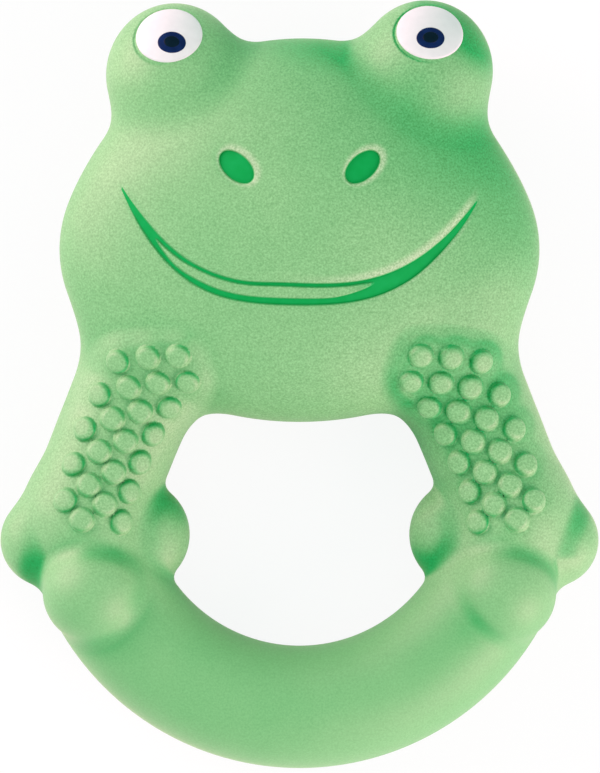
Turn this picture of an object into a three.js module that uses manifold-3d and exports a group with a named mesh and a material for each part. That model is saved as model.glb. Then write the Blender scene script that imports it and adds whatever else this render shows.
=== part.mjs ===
// Frog-shaped rubber teething toy: a round grip ring that runs up through two hands and two arms into the head,
// with nubbed chew pads let into the arms and a painted face. Millimetres, +Z up.
// The toy lies on its back: +Y runs from the grip ring to the eyes and +Z points out of the face.
// Left and right are as someone sees them who faces the frog, so right is +X.
// Sizes in the plane are given about the hoop's centre, and the finished toy is centred on its own footprint.
import * as THREE from "three";
import { mergeVertices } from "three/addons/utils/BufferGeometryUtils.js";
import Module from "manifold-3d";

const wasm = await Module();
wasm.setup();

// Fits: the bond gap between neighbouring pieces, and how deep the back is pressed flat where it rests
const BOND_GAP = 0.3;
const BACK_FLAT = 0.5;

// Hoop: the ring of rubber that a baby grips, completed by the hands and arms
const HOOP_RADIUS = 32.3;
const BAR_WIDTH = 18.4;
const BAR_THICKNESS = 18.2;
const ARM_WIDTH = 18.4;
const PALM_ANGLE = -6.4;

// Radial planes through the hoop's centre where the pieces meet, in degrees from +X
const SHOULDER_ANGLE = 35;
const WRIST_ANGLE = 2;
const CUFF_ANGLE = -30;

// Head: broad jowls and a narrower brow, both rounded like pebbles, and two eye mounds
const HEAD_LIFT = 36.4;
const JOWL_WIDTH = 72;
const JOWL_HEIGHT = 51.8;
const JOWL_THICKNESS = 27.2;
const BROW_RISE = 13.7;
const BROW_WIDTH = 49.6;
const BROW_HEIGHT = 34.2;
const BROW_THICKNESS = 26;
const EYE_SPREAD = 37.6;
const EYE_RISE = 26.4;
const EYE_WIDTH = 20.4;
const EYE_HEIGHT = 21.4;
const EYE_THICKNESS = 19;
const EYE_MIDDLE = 14.5;
const SHOULDER_SPREAD = 45;
const SHOULDER_DROP = 15.5;

// How wide the rounded valleys are where the forms run into each other
const BROW_BLEND = 11;
const EYE_BLEND = 4.2;
const ARM_BLEND = 6.9;
const HAND_BLEND = 3;

// Fingers: rounded pads at an angle about the hoop's centre, rolled round the bar's section (0 is outside,
// 90 in front, 180 inside), each with its centre sunk under the bar's surface
const FINGERS = {
  outer: { angle: -10.8, roll: 0, sunk: 2.9, width: 14, thickness: 11.8 },
  inner: { angle: -14.5, roll: 180, sunk: 2.4, width: 16.4, thickness: 11.4 },
  front: { angle: -26, roll: 69, sunk: 3.4, width: 15.2, thickness: 15 },
};

// Chew pads: nubs in staggered columns, the innermost of them on an arc beside the arm's middle line. Each column
// runs from its first row to its last, counted in pitches from the arm's middle towards the head, and lags a
// little behind the column inside it. The columns spread apart from row to row, by a share of their pitch.
const NUB_WIDTH = 3.5;
const NUB_HEIGHT = 1.1;
const NUB_ROW_PITCH = 4.7;
const NUB_COLUMN_PITCH = 3.2;
const NUB_ARC_RADIUS = 50.6;
const NUB_INSET = 4.8;
const NUB_TILT = 4;
const NUB_LAG = 0.08;
const NUB_FLARE = 0.035;
const NUB_COLUMNS = [
  { first: -2.5, last: 2.5 },
  { first: -2, last: 3 },
  { first: -2.5, last: 2.5 },
  { first: -2, last: 2 },
];
const PAD_MARGIN = 0.9;
const PAD_DEPTH = 1.7;

// Painted eyes: a white oval, an iris let into it and a pupil let into that, tipped back on the eye mound and
// turned a little outward
const EYE_TILT = 40.5;
const EYE_TURN = 6;
const WHITE_WIDTH = 10;
const WHITE_HEIGHT = 9.4;
const WHITE_SLANT = -12;
const IRIS_WIDTH = 4.3;
const IRIS_HEIGHT = 3.4;
const PUPIL_WIDTH = 2.2;
const PUPIL_HEIGHT = 1.6;
const GAZE_SHIFT = 0.4;
const GAZE_DROP = 1.6;
const WHITE_PROUD = 0.2;
const WHITE_DEPTH = 1.6;
const IRIS_DEPTH = 0.9;
const PUPIL_DEPTH = 0.3;

// Mouth: a crescent groove between two lips, whose fall from the corners is a power of the distance across
const MOUTH_WIDTH = 54;
const MOUTH_RISE = 8.8;
const MOUTH_TILT = -2.2;
const UPPER_LIP_DROP = 14;
const UPPER_LIP_POWER = 2.9;
const LOWER_LIP_DROP = 17.2;
const LOWER_LIP_POWER = 3.3;
const MOUTH_FILL_SHARE = 0.85;
const MOUTH_DEPTH = 2.4;
const MOUTH_SINK = 0.9;

// Nostrils: slanted oval pits
const NOSTRIL_SPREAD = 18.8;
const NOSTRIL_RISE = 12.2;
const NOSTRIL_LENGTH = 5.9;
const NOSTRIL_WIDTH = 3.6;
const NOSTRIL_SLANT = 42;
const NOSTRIL_DEPTH = 2.4;
const NOSTRIL_SINK = 1;

// Fineness of the faceted surfaces, and how far each cutting tool reaches past the toy
const BODY_STEP = 3.4;
const DETAIL_STEP = 2.2;
const ROUND_SEGMENTS = 16;
const NUB_SIDES = 8;
const NUB_RINGS = 5;
const TOOL_REACH = 6;

// Places that follow from the sizes
const hoopMiddle = BAR_THICKNESS / 2 - BACK_FLAT;
const jowlMiddle = JOWL_THICKNESS / 2 - BACK_FLAT;
const browMiddle = BROW_THICKNESS / 2 - BACK_FLAT;
const palm = onHoop(HOOP_RADIUS, PALM_ANGLE);
const shoulder = new THREE.Vector2(SHOULDER_SPREAD / 2, HEAD_LIFT - SHOULDER_DROP);
const eyeCentre = new THREE.Vector3(EYE_SPREAD / 2, HEAD_LIFT + EYE_RISE, EYE_MIDDLE);
const frontTop = Math.max(
  jowlMiddle + JOWL_THICKNESS / 2,
  browMiddle + BROW_THICKNESS / 2,
  EYE_MIDDLE + EYE_THICKNESS / 2,
);

// A point in the hoop's plane, from its radius and its angle in degrees
function onHoop(radius, degrees) {
  const angle = THREE.MathUtils.degToRad(degrees);
  return new THREE.Vector2(radius * Math.cos(angle), radius * Math.sin(angle));
}

// Distance fields: each takes a point and gives how far it lies outside the form, or inside it if negative
function pebble(centre, size) {
  const [a, b, c] = size.map((length) => length / 2);
  return (x, y, z) => {
    const [u, v, w] = [(x - centre.x) / a, (y - centre.y) / b, (z - centre.z) / c];
    const share = Math.hypot(u, v, w);
    return (share * (share - 1)) / Math.max(Math.hypot(u / a, v / b, w / c), 1e-9);
  };
}

function straightBar(from, to, width) {
  const along = to.clone().sub(from);
  return (x, y, z) => {
    const share = ((x - from.x) * along.x + (y - from.y) * along.y) / along.lengthSq();
    const t = THREE.MathUtils.clamp(share, 0, 1);
    return Math.hypot(x - from.x - along.x * t, y - from.y - along.y * t, z) - width / 2;
  };
}

// A bar bent round the hoop's centre, from one palm down through the bottom to the other
function bentBar(radius, end, width) {
  const endAngle = Math.atan2(end.y, end.x);
  return (x, y, z) => {
    const below = Math.atan2(y, x) < endAngle;
    const across = below ? Math.hypot(x, y) - radius : Math.hypot(x - end.x, y - end.y);
    return Math.hypot(across, z) - width / 2;
  };
}

// The same form on both sides of the toy
const mirrored = (field) => (x, y, z) => field(Math.abs(x), y, z);

// A form of round section pressed to another thickness about its own middle height
const pressed = (field, middle, width, thickness) => (x, y, z) =>
  field(x, y, ((z - middle) * width) / thickness);

// Two forms run together over a rounded valley
function blended(one, other, valley) {
  return (x, y, z) => {
    const a = one(x, y, z);
    const b = other(x, y, z);
    const share = Math.max(valley - Math.abs(a - b), 0) / valley;
    return Math.min(a, b) - (share * share * valley) / 4;
  };
}

const grown = (field, amount) => (x, y, z) => field(x, y, z) - amount;

// The whole rubber form without its fingers and nubs
function bodyField() {
  const jowls = pebble(
    new THREE.Vector3(0, HEAD_LIFT, jowlMiddle),
    [JOWL_WIDTH, JOWL_HEIGHT, JOWL_THICKNESS],
  );
  const brow = pebble(
    new THREE.Vector3(0, HEAD_LIFT + BROW_RISE, browMiddle),
    [BROW_WIDTH, BROW_HEIGHT, BROW_THICKNESS],
  );
  const eyes = mirrored(pebble(eyeCentre, [EYE_WIDTH, EYE_HEIGHT, EYE_THICKNESS]));
  const head = blended(blended(jowls, brow, BROW_BLEND), eyes, EYE_BLEND);
  const arms = pressed(
    mirrored(straightBar(shoulder, palm, ARM_WIDTH)), hoopMiddle, ARM_WIDTH, BAR_THICKNESS,
  );
  const bar = pressed(
    mirrored(bentBar(HOOP_RADIUS, palm, BAR_WIDTH)), hoopMiddle, BAR_WIDTH, BAR_THICKNESS,
  );
  return blended(head, blended(arms, bar, HAND_BLEND), ARM_BLEND);
}

const body = bodyField();

// Wraps a field's zero surface, inside a box, in a closed net with one corner to each cell that it crosses
function wrapField(field, box, step) {
  const counts = ["x", "y", "z"].map((axis) => Math.ceil((box.max[axis] - box.min[axis]) / step) + 1);
  const strides = [1, counts[0], counts[0] * counts[1]];
  const place = (cell) => [0, 1, 2].map((axis) => box.min.getComponent(axis) + cell[axis] * step);
  const isRim = (cell) => cell.some((index, axis) => index === 0 || index === counts[axis] - 1);
  const values = new Float32Array(counts[0] * counts[1] * counts[2]);
  const eachCell = (lengths, visit) => {
    for (let k = 0; k < lengths[2]; k++)
      for (let j = 0; j < lengths[1]; j++)
        for (let i = 0; i < lengths[0]; i++) visit([i, j, k], i + j * strides[1] + k * strides[2]);
  };
  eachCell(counts, (cell, at) => {
    values[at] = isRim(cell) ? step : field(...place(cell));
  });

  const corners = [];
  const cornerOf = new Map();
  eachCell(counts.map((count) => count - 1), (cell, at) => {
    const crossing = meanCrossing(values, at, strides);
    if (!crossing) return;
    cornerOf.set(at, corners.length / 3);
    corners.push(...settled(field, place(cell).map((x, axis) => x + crossing[axis] * step), step));
  });

  const triangles = [];
  eachCell(counts.map((count) => count - 1), (cell, at) => {
    for (let axis = 0; axis < 3; axis++) {
      const next = at + strides[axis];
      if (values[at] < 0 === values[next] < 0) continue;
      const [side, up] = [strides[(axis + 1) % 3], strides[(axis + 2) % 3]];
      const [a, b, c, d] = [at - side - up, at - up, at, at - side].map((cellAt) => cornerOf.get(cellAt));
      triangles.push(...(values[at] < 0 ? [a, b, c, a, c, d] : [a, c, b, a, d, c]));
    }
  });
  return new THREE.BufferGeometry()
    .setAttribute("position", new THREE.Float32BufferAttribute(corners, 3))
    .setIndex(triangles);
}

// The mean of the places where the surface crosses one cell's twelve edges, in shares of the cell
function meanCrossing(values, at, strides) {
  const sum = [0, 0, 0];
  let found = 0;
  for (let axis = 0; axis < 3; axis++) {
    const [side, up] = [(axis + 1) % 3, (axis + 2) % 3];
    for (const [s, u] of [[0, 0], [1, 0], [0, 1], [1, 1]]) {
      const start = at + s * strides[side] + u * strides[up];
      const [low, high] = [values[start], values[start + strides[axis]]];
      if (low < 0 === high < 0) continue;
      sum[axis] += low / (low - high);
      sum[side] += s;
      sum[up] += u;
      found++;
    }
  }
  return found ? sum.map((total) => total / found) : null;
}

// Slope of a field at a point
function slopeOf(field, point) {
  const reach = 0.01;
  return new THREE.Vector3(...[0, 1, 2].map((axis) => {
    const [low, high] = [point.slice(), point.slice()];
    low[axis] -= reach;
    high[axis] += reach;
    return (field(...high) - field(...low)) / (2 * reach);
  }));
}

// A net corner slid onto the surface itself, where the surface is near
function settled(field, point, step) {
  const moved = new THREE.Vector3(...point);
  for (let pass = 0; pass < 2; pass++) {
    const value = field(moved.x, moved.y, moved.z);
    if (Math.abs(value) > step) return point;
    const slope = slopeOf(field, moved.toArray());
    moved.addScaledVector(slope, -value / Math.max(slope.lengthSq(), 1e-6));
  }
  return moved.toArray();
}

// Height of the front of the body over a point of the plane
function frontHeight(x, y) {
  let [inside, outside] = [hoopMiddle, frontTop + TOOL_REACH];
  while (outside - inside > 1e-4) {
    const middle = (inside + outside) / 2;
    if (body(x, y, middle) < 0) inside = middle;
    else outside = middle;
  }
  return inside;
}

// Solids for cutting and joining, from closed geometry and back
function solidOf(geometry) {
  const bare = geometry.clone();
  bare.deleteAttribute("normal");
  bare.deleteAttribute("uv");
  const merged = mergeVertices(bare, 1e-5);
  return new wasm.Manifold(new wasm.Mesh({
    numProp: 3,
    vertProperties: new Float32Array(merged.attributes.position.array),
    triVerts: new Uint32Array(merged.index.array),
  }));
}

function geometryOf(solid) {
  const { vertProperties, triVerts } = solid.getMesh();
  const geometry = new THREE.BufferGeometry()
    .setAttribute("position", new THREE.BufferAttribute(vertProperties, 3))
    .setIndex(new THREE.BufferAttribute(triVerts, 1));
  geometry.computeVertexNormals();
  return geometry;
}

// A flat outline raised between two heights
function prism(shape, bottom, top) {
  const options = { depth: top - bottom, bevelEnabled: false, curveSegments: ROUND_SEGMENTS / 2 };
  return new THREE.ExtrudeGeometry(shape, options).translate(0, 0, bottom);
}

// An outline over the front of the toy, as a tool that reaches from inside the body to past its front
const frontTool = (shape) => prism(shape, hoopMiddle, frontTop + TOOL_REACH);

// The body grown or shrunk by an amount, within reach of a tool
function bodyNear(tool, amount, step) {
  tool.computeBoundingBox();
  const box = tool.boundingBox.clone().expandByScalar(2 * step);
  return solidOf(wrapField(grown(body, amount), box, step));
}

// The layer of the body's skin inside a tool, from one height over the surface down to a depth under it
const skinLayer = (tool, proud, depth, step = DETAIL_STEP) =>
  solidOf(tool).intersect(bodyNear(tool, proud, step)).subtract(bodyNear(tool, -depth, step));

// What has to be cut away to sink a tool to a depth under the surface
const sinking = (tool, depth) => solidOf(tool).subtract(bodyNear(tool, -depth, BODY_STEP));

function oval(width, height, { x, y }, slant = 0) {
  const angle = THREE.MathUtils.degToRad(slant);
  return new THREE.Shape().absellipse(x, y, width / 2, height / 2, 0, 2 * Math.PI, false, angle);
}

// Chew pad: an outline that follows the columns of nubs, and the nubs that stand on it
const armMiddle = shoulder.clone().add(palm).divideScalar(2);
const armAngle = palm.clone().sub(shoulder).angle() + THREE.MathUtils.degToRad(90 + NUB_TILT);
const nubArcCentre = armMiddle.clone()
  .sub(new THREE.Vector2(NUB_ARC_RADIUS + NUB_INSET, 0).rotateAround(new THREE.Vector2(), armAngle));

function onNubArc(column, row) {
  const step = row - NUB_LAG * column;
  const radius = NUB_ARC_RADIUS + column * NUB_COLUMN_PITCH * (1 + NUB_FLARE * step);
  const angle = armAngle + (step * NUB_ROW_PITCH) / NUB_ARC_RADIUS;
  return nubArcCentre.clone().add(new THREE.Vector2(radius * Math.cos(angle), radius * Math.sin(angle)));
}

const onSide = (point, side) => new THREE.Vector2(side * point.x, point.y);

function nubPlaces(side) {
  return NUB_COLUMNS.flatMap(({ first, last }, column) => {
    const rows = Array.from({ length: last - first + 1 }, (_, at) => first + at);
    return rows.map((row) => onSide(onNubArc(column, row), side));
  });
}

// The pad's outline rounds each of its corner nubs, and its long sides bend with the arc
function padTool(side, margin) {
  const edge = NUB_WIDTH / 2 + PAD_MARGIN + margin;
  const width = (NUB_COLUMNS.length - 1) * NUB_COLUMN_PITCH;
  const start = Math.min(...NUB_COLUMNS.map(({ first }) => first)) * NUB_ROW_PITCH;
  const end = Math.max(...NUB_COLUMNS.map(({ last }) => last)) * NUB_ROW_PITCH;
  const outline = new THREE.Path()
    .absarc(width, start, edge, -Math.PI / 2, 0)
    .lineTo(width + edge, (start + end) / 2)
    .absarc(width, end, edge, 0, Math.PI / 2)
    .absarc(0, end, edge, Math.PI / 2, Math.PI)
    .lineTo(-edge, (start + end) / 2)
    .absarc(0, start, edge, Math.PI, 1.5 * Math.PI);
  const bent = outline.getPoints(ROUND_SEGMENTS / 8)
    .map(({ x, y }) => onSide(onNubArc(x / NUB_COLUMN_PITCH, y / NUB_ROW_PITCH), side));
  return frontTool(new THREE.Shape(bent));
}

function nub({ x, y }) {
  const base = [x, y, frontHeight(x, y)];
  const outward = slopeOf(body, base).normalize();
  const turn = new THREE.Quaternion().setFromUnitVectors(new THREE.Vector3(0, 0, 1), outward);
  return new THREE.SphereGeometry(NUB_WIDTH / 2, NUB_SIDES, NUB_RINGS)
    .rotateX(Math.PI / 2)
    .scale(1, 1, NUB_HEIGHT / (NUB_WIDTH / 2))
    .applyQuaternion(turn)
    .translate(...base);
}

function chewPad(side) {
  const pad = skinLayer(padTool(side, 0), 0, PAD_DEPTH, BODY_STEP);
  return nubPlaces(side).reduce((made, place) => made.add(solidOf(nub(place))), pad);
}

// Eyes: ovals pushed down into the eye mound along the way the eye looks
function eyeTool(side, width, height, shift, margin, slant = 0) {
  const length = EYE_THICKNESS + TOOL_REACH;
  return prism(oval(width + 2 * margin, height + 2 * margin, shift, side * slant), 0, length)
    .rotateX(-THREE.MathUtils.degToRad(EYE_TILT))
    .rotateY(THREE.MathUtils.degToRad(side * EYE_TURN))
    .translate(side * eyeCentre.x, eyeCentre.y, eyeCentre.z);
}

const noShift = new THREE.Vector2();
const gaze = new THREE.Vector2(GAZE_SHIFT, -GAZE_DROP);
const whiteTool = (side, margin) =>
  eyeTool(side, WHITE_WIDTH, WHITE_HEIGHT, noShift, margin, WHITE_SLANT);
const irisTool = (side, margin) => eyeTool(side, IRIS_WIDTH, IRIS_HEIGHT, gaze, margin);
const pupilTool = (side, margin) => eyeTool(side, PUPIL_WIDTH, PUPIL_HEIGHT, gaze, margin);

const eyeWhite = (side) => skinLayer(whiteTool(side, 0), WHITE_PROUD, WHITE_DEPTH)
  .subtract(sinking(irisTool(side, BOND_GAP), IRIS_DEPTH + BOND_GAP));
const iris = (side) => skinLayer(irisTool(side, 0), WHITE_PROUD, IRIS_DEPTH)
  .subtract(sinking(pupilTool(side, BOND_GAP), PUPIL_DEPTH + BOND_GAP));
const pupil = (side) => skinLayer(pupilTool(side, 0), WHITE_PROUD, PUPIL_DEPTH);

// A point of one lip, at a share of the mouth's half width, moved out square to the lip
function lipPoint(share, drop, power, out) {
  const halfWidth = MOUTH_WIDTH / 2;
  const fall = Math.abs(share) ** (power - 1);
  const place = new THREE.Vector2(share * halfWidth, drop * (fall * Math.abs(share) - 1));
  const slope = (drop * power * Math.sign(share) * fall) / halfWidth;
  return place.addScaledVector(new THREE.Vector2(-slope, 1).normalize(), out);
}

// The crescent between the lips, as far out as a share of the half width
function mouthTool(share, margin) {
  const steps = Array.from({ length: ROUND_SEGMENTS + 1 }, (_, at) => (2 * at) / ROUND_SEGMENTS - 1);
  const shares = steps.map((step) => share * step);
  const lower = shares.map((at) => lipPoint(at, LOWER_LIP_DROP, LOWER_LIP_POWER, -margin));
  const upper = shares.map((at) => lipPoint(at, UPPER_LIP_DROP, UPPER_LIP_POWER, margin));
  const tilt = THREE.MathUtils.degToRad(MOUTH_TILT);
  const corners = new THREE.Vector2(0, HEAD_LIFT + MOUTH_RISE);
  const outline = [...lower, ...upper.reverse()];
  outline.forEach((point) => point.rotateAround(noShift, tilt).add(corners));
  return frontTool(new THREE.Shape(outline));
}

const mouthGroove = () => sinking(mouthTool(1, BOND_GAP), MOUTH_DEPTH + BOND_GAP);
const mouthFill = () => skinLayer(mouthTool(MOUTH_FILL_SHARE, 0), -MOUTH_SINK, MOUTH_DEPTH);

// Nostrils: the same slanted oval for the pit and for the painted floor in it
function nostrilTool(side, margin) {
  const centre = new THREE.Vector2((side * NOSTRIL_SPREAD) / 2, HEAD_LIFT + NOSTRIL_RISE);
  const size = [NOSTRIL_LENGTH + 2 * margin, NOSTRIL_WIDTH + 2 * margin];
  return frontTool(oval(...size, centre, side * NOSTRIL_SLANT));
}

const nostrilPit = (side) => sinking(nostrilTool(side, BOND_GAP), NOSTRIL_DEPTH + BOND_GAP);
const nostrilFill = (side) => skinLayer(nostrilTool(side, 0), -NOSTRIL_SINK, NOSTRIL_DEPTH);

// The box that holds the whole body
function bodyBox() {
  const bar = HOOP_RADIUS + BAR_WIDTH / 2;
  const arm = Math.max(shoulder.x, palm.x) + ARM_WIDTH / 2;
  const halfWidth = Math.max(bar, arm, JOWL_WIDTH / 2, BROW_WIDTH / 2, (EYE_SPREAD + EYE_WIDTH) / 2);
  const top = HEAD_LIFT + Math.max(JOWL_HEIGHT / 2, BROW_RISE + BROW_HEIGHT / 2, EYE_RISE + EYE_HEIGHT / 2);
  return new THREE.Box3(
    new THREE.Vector3(-halfWidth, -bar, -BAR_THICKNESS / 2),
    new THREE.Vector3(halfWidth, top, Math.max(frontTop, BAR_THICKNESS)),
  ).expandByScalar(TOOL_REACH);
}

// A wedge between two radial planes of the hoop, each drawn back by half the bond gap
function wedge(from, to) {
  const middle = (from + to) / 2;
  const box = bodyBox();
  const reach = 2 * box.getSize(new THREE.Vector3()).length();
  const apex = onHoop(BOND_GAP / 2 / Math.sin(THREE.MathUtils.degToRad((to - from) / 2)), middle);
  const rim = [from, middle, to].map((angle) => onHoop(reach, angle).add(apex));
  return solidOf(prism(new THREE.Shape([apex, ...rim]), box.min.z, box.max.z));
}

// The same wedge on the right, or its mirror image on the left
const sideWedge = (side, from, to) => (side > 0 ? wedge(from, to) : wedge(180 - to, 180 - from));

// The body with its back pressed flat and every socket cut for what is let into it
function socketedBody() {
  const box = bodyBox();
  const size = box.getSize(new THREE.Vector3());
  const floor = new THREE.BoxGeometry(2 * size.x, 2 * size.y, size.z).translate(0, 0, -size.z / 2);
  const sockets = [
    solidOf(floor),
    mouthGroove(),
    ...[-1, 1].flatMap((side) => [
      nostrilPit(side),
      sinking(whiteTool(side, BOND_GAP), WHITE_DEPTH + BOND_GAP),
      sinking(padTool(side, BOND_GAP), PAD_DEPTH + BOND_GAP),
    ]),
  ];
  return sockets.reduce((made, socket) => made.subtract(socket), solidOf(wrapField(body, box, BODY_STEP)));
}

// A finger pad, seated on the hand and cut back from a neighbour that overlaps it
function fingerPebble({ angle, roll, sunk, width, thickness }, side, growth) {
  const seat = onHoop(BAR_WIDTH / 2 - sunk, roll);
  const { x, y } = onSide(onHoop(HOOP_RADIUS + seat.x, angle), side);
  const [across, deep] = [width / 2 + growth, thickness / 2 + growth];
  return new THREE.SphereGeometry(1, ROUND_SEGMENTS, ROUND_SEGMENTS / 2)
    .rotateX(Math.PI / 2)
    .scale(across, across, deep)
    .translate(x, y, hoopMiddle + (seat.y * BAR_THICKNESS) / BAR_WIDTH);
}

function finger(name, side) {
  const form = fingerPebble(FINGERS[name], side, 0);
  const pad = solidOf(form).subtract(bodyNear(form, BOND_GAP, BODY_STEP));
  return name === "front" ? pad : pad.subtract(solidOf(fingerPebble(FINGERS.front, side, BOND_GAP)));
}

// Materials, as the photographed toy shows them
const material = (color, roughness) => new THREE.MeshStandardMaterial({ color, roughness, metalness: 0 });
const rubber = material(0x8fcf8d, 0.65);
const groovePaint = material(0x12a04f, 0.6);
const whitePaint = material(0xf7f5f4, 0.25);
const irisPaint = material(0x17264f, 0.2);
const pupilPaint = material(0x05080f, 0.15);

const toy = new THREE.Group();

function add(name, solid, paint) {
  const mesh = new THREE.Mesh(geometryOf(solid), paint.clone());
  mesh.name = name;
  toy.add(mesh);
}

const socketed = socketedBody();
add("head", socketed.intersect(wedge(SHOULDER_ANGLE, 180 - SHOULDER_ANGLE)), rubber);
add("grip_ring", socketed.intersect(wedge(-180 - CUFF_ANGLE, CUFF_ANGLE)), rubber);
add("mouth_line", mouthFill(), groovePaint);
for (const [label, side] of [["left", -1], ["right", 1]]) {
  add(`${label}_arm`, socketed.intersect(sideWedge(side, WRIST_ANGLE, SHOULDER_ANGLE)), rubber);
  add(`${label}_hand`, socketed.intersect(sideWedge(side, CUFF_ANGLE, WRIST_ANGLE)), rubber);
  for (const name of Object.keys(FINGERS)) add(`${label}_${name}_finger`, finger(name, side), rubber);
  add(`${label}_chew_pad`, chewPad(side), rubber);
  add(`${label}_eye_white`, eyeWhite(side), whitePaint);
  add(`${label}_iris`, iris(side), irisPaint);
  add(`${label}_pupil`, pupil(side), pupilPaint);
  add(`${label}_nostril`, nostrilFill(side), groovePaint);
}

// The origin is the middle of the toy's footprint, on the surface that it lies on
const footprint = new THREE.Box3().setFromObject(toy);
const middle = footprint.getCenter(new THREE.Vector3());
toy.position.set(-middle.x, -middle.y, -footprint.min.z);

export default toy;
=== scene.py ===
"""Looks of the frog-shaped rubber teething toy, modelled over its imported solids.

The rubber is one continuous form, given as a distance field in millimetres about the hoop's centre. It is
wrapped in a fine net, which is parted along the same lines as the solids, so each piece has its own skin.
"""
import math

import bpy
import numpy as np
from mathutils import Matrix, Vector


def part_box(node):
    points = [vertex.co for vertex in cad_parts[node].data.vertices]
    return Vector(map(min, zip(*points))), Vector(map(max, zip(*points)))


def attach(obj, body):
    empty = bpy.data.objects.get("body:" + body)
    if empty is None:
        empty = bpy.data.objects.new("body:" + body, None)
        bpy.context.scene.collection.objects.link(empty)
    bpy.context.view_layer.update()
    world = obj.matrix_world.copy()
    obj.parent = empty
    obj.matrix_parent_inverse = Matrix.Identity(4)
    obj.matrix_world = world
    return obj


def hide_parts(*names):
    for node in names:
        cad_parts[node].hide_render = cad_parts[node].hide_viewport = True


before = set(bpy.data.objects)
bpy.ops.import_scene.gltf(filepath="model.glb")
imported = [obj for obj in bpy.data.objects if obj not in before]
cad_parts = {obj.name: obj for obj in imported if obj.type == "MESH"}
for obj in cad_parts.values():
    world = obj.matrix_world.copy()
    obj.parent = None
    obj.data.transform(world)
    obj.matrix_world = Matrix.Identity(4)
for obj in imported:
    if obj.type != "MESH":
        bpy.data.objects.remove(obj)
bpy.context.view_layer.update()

MM = 0.001

# Hoop, arms and head, as the solids have them
HOOP_RADIUS = 32.3
BAR_WIDTH = 18.4
BAR_THICKNESS = 18.2
ARM_WIDTH = 18.4
PALM_ANGLE = -6.4
SHOULDER_ANGLE = 35
WRIST_ANGLE = 2
CUFF_ANGLE = -30
BACK_FLAT = 0.5
HEAD_LIFT = 36.4
JOWL_SIZE = (72, 51.8, 27.2)
BROW_RISE = 13.7
BROW_SIZE = (49.6, 34.2, 26)
EYE_SPREAD = 37.6
EYE_RISE = 26.4
EYE_SIZE = (20.4, 21.4, 19)
EYE_MIDDLE = 14.5
SHOULDER_SPREAD = 45
SHOULDER_DROP = 15.5

# Valleys where the forms run into each other
BROW_BLEND = 11
EYE_BLEND = 4.2
ARM_BLEND = 6.9
HAND_BLEND = 3
FINGER_BLEND = 1.6
NUB_BLEND = 0.2
BACK_BLEND = 0.4

# Fingers: angle about the hoop, roll round the bar's section, sink under its surface, width and thickness
FINGERS = {
    "outer": (-10.8, 0, 2.9, 14, 11.8),
    "inner": (-14.5, 180, 2.4, 16.4, 11.4),
    "front": (-26, 69, 3.4, 15.2, 15),
}

# Chew pads: round-edged nubs in staggered columns that lag behind each other and spread apart up the arm. The
# pad stands a little proud of the shoulder and runs level into the arm towards the hand.
NUB_WIDTH = 3.7
NUB_HEIGHT = 0.9
NUB_EDGE = 0.85
NUB_CROWN = 0.15
PAD_RISE = 0.8
PAD_SLOPE = 3
PAD_TOP = -0.6
PAD_FADE = (-7, 7)
NUB_ROW_PITCH = 4.7
NUB_COLUMN_PITCH = 3.2
NUB_ARC_RADIUS = 50.6
NUB_INSET = 4.8
NUB_TILT = 4
NUB_LAG = 0.08
NUB_FLARE = 0.035
NUB_COLUMNS = ((-2.5, 2.5), (-2, 3), (-2.5, 2.5), (-2, 2))
PAD_MARGIN = 0.9
PAD_DEPTH = 1.7

# Painted eyes: white, iris and pupil, tipped back and turned a little outward on the eye mound
EYE_TILT = 40.5
EYE_TURN = 6
WHITE_SIZE = (10, 9.5)
WHITE_SLANT = -12
IRIS_SIZE = (4.3, 3.4)
PUPIL_SIZE = (2.4, 1.8)
GAZE = {-1: (0.6, -2), 1: (-0.1, -1.8)}
EYE_LEAN = 0.012
EYE_RIM = 0.5
EYE_RIM_OUT = 0.2
EYE_RIM_DEPTH = 0.25
PAINT_PROUD = {"eye_white": 0.2, "iris": 0.26, "pupil": 0.3}
PAINT_THICKNESS = {"eye_white": 0.9, "iris": 0.3, "pupil": 0.2}

# Mouth: a groove between two lips, with a tongue of rubber that rises in it between two deep lines. Spans are
# shares of the mouth's half width, and the tongue and the lines have shares of its gape.
MOUTH_WIDTH = 54
MOUTH_RISE = 8.8
MOUTH_TILT = -2.2
UPPER_LIP = (14, 2.9)
LOWER_LIP = (17.2, 3.3)
LIP_LIFT = 0.7
LIFT_SPAN = (-0.1, 0.6, 0.75, 1)
LIP_DROP = 0.4
DROP_SPAN = (-0.9, -0.6, -0.35, -0.05)
MOUTH_DEPTH = 1.2
FULL_GAPE = 1.3
FLOOR_SHARE = 0.36
TONGUE_SHARE = 0.12
TONGUE_WIDTH = 0.6
TONGUE_SPAN = (-0.9, -0.65, 0.16, 0.64)
TONGUE_START = (0.02, 0.35)
UPPER_LINE = (0.33, 0.13)
UPPER_LINE_SPAN = (-0.85, -0.5)
LIP_ROUND = 0.35
LEAST_ROUND = 0.05
GAPE_ROUND = 0.25
EDGE_SHIFT = 0.3
LIP_FALL = 0.2
UPPER_LIP_SOFT = 1.6
LOWER_LIP_SOFT = 0.8

# Nostrils: slanted oval pits
NOSTRIL_SPREAD = 18.8
NOSTRIL_RISE = 12.2
NOSTRIL_SIZE = (5.8, 3.4)
NOSTRIL_SLANT = 42
NOSTRIL_DEPTH = 1.6
NOSTRIL_ROUND = 0.4
NOSTRIL_FALL = 0.2
NOSTRIL_SOFT = 1.4

# Where the face is sunk in, and how near the surface its details are worked out
FACE_DROP = 12
FACE_RISE = 2
NEAR_FACE = 6
NEAR_PAD = 4

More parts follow.
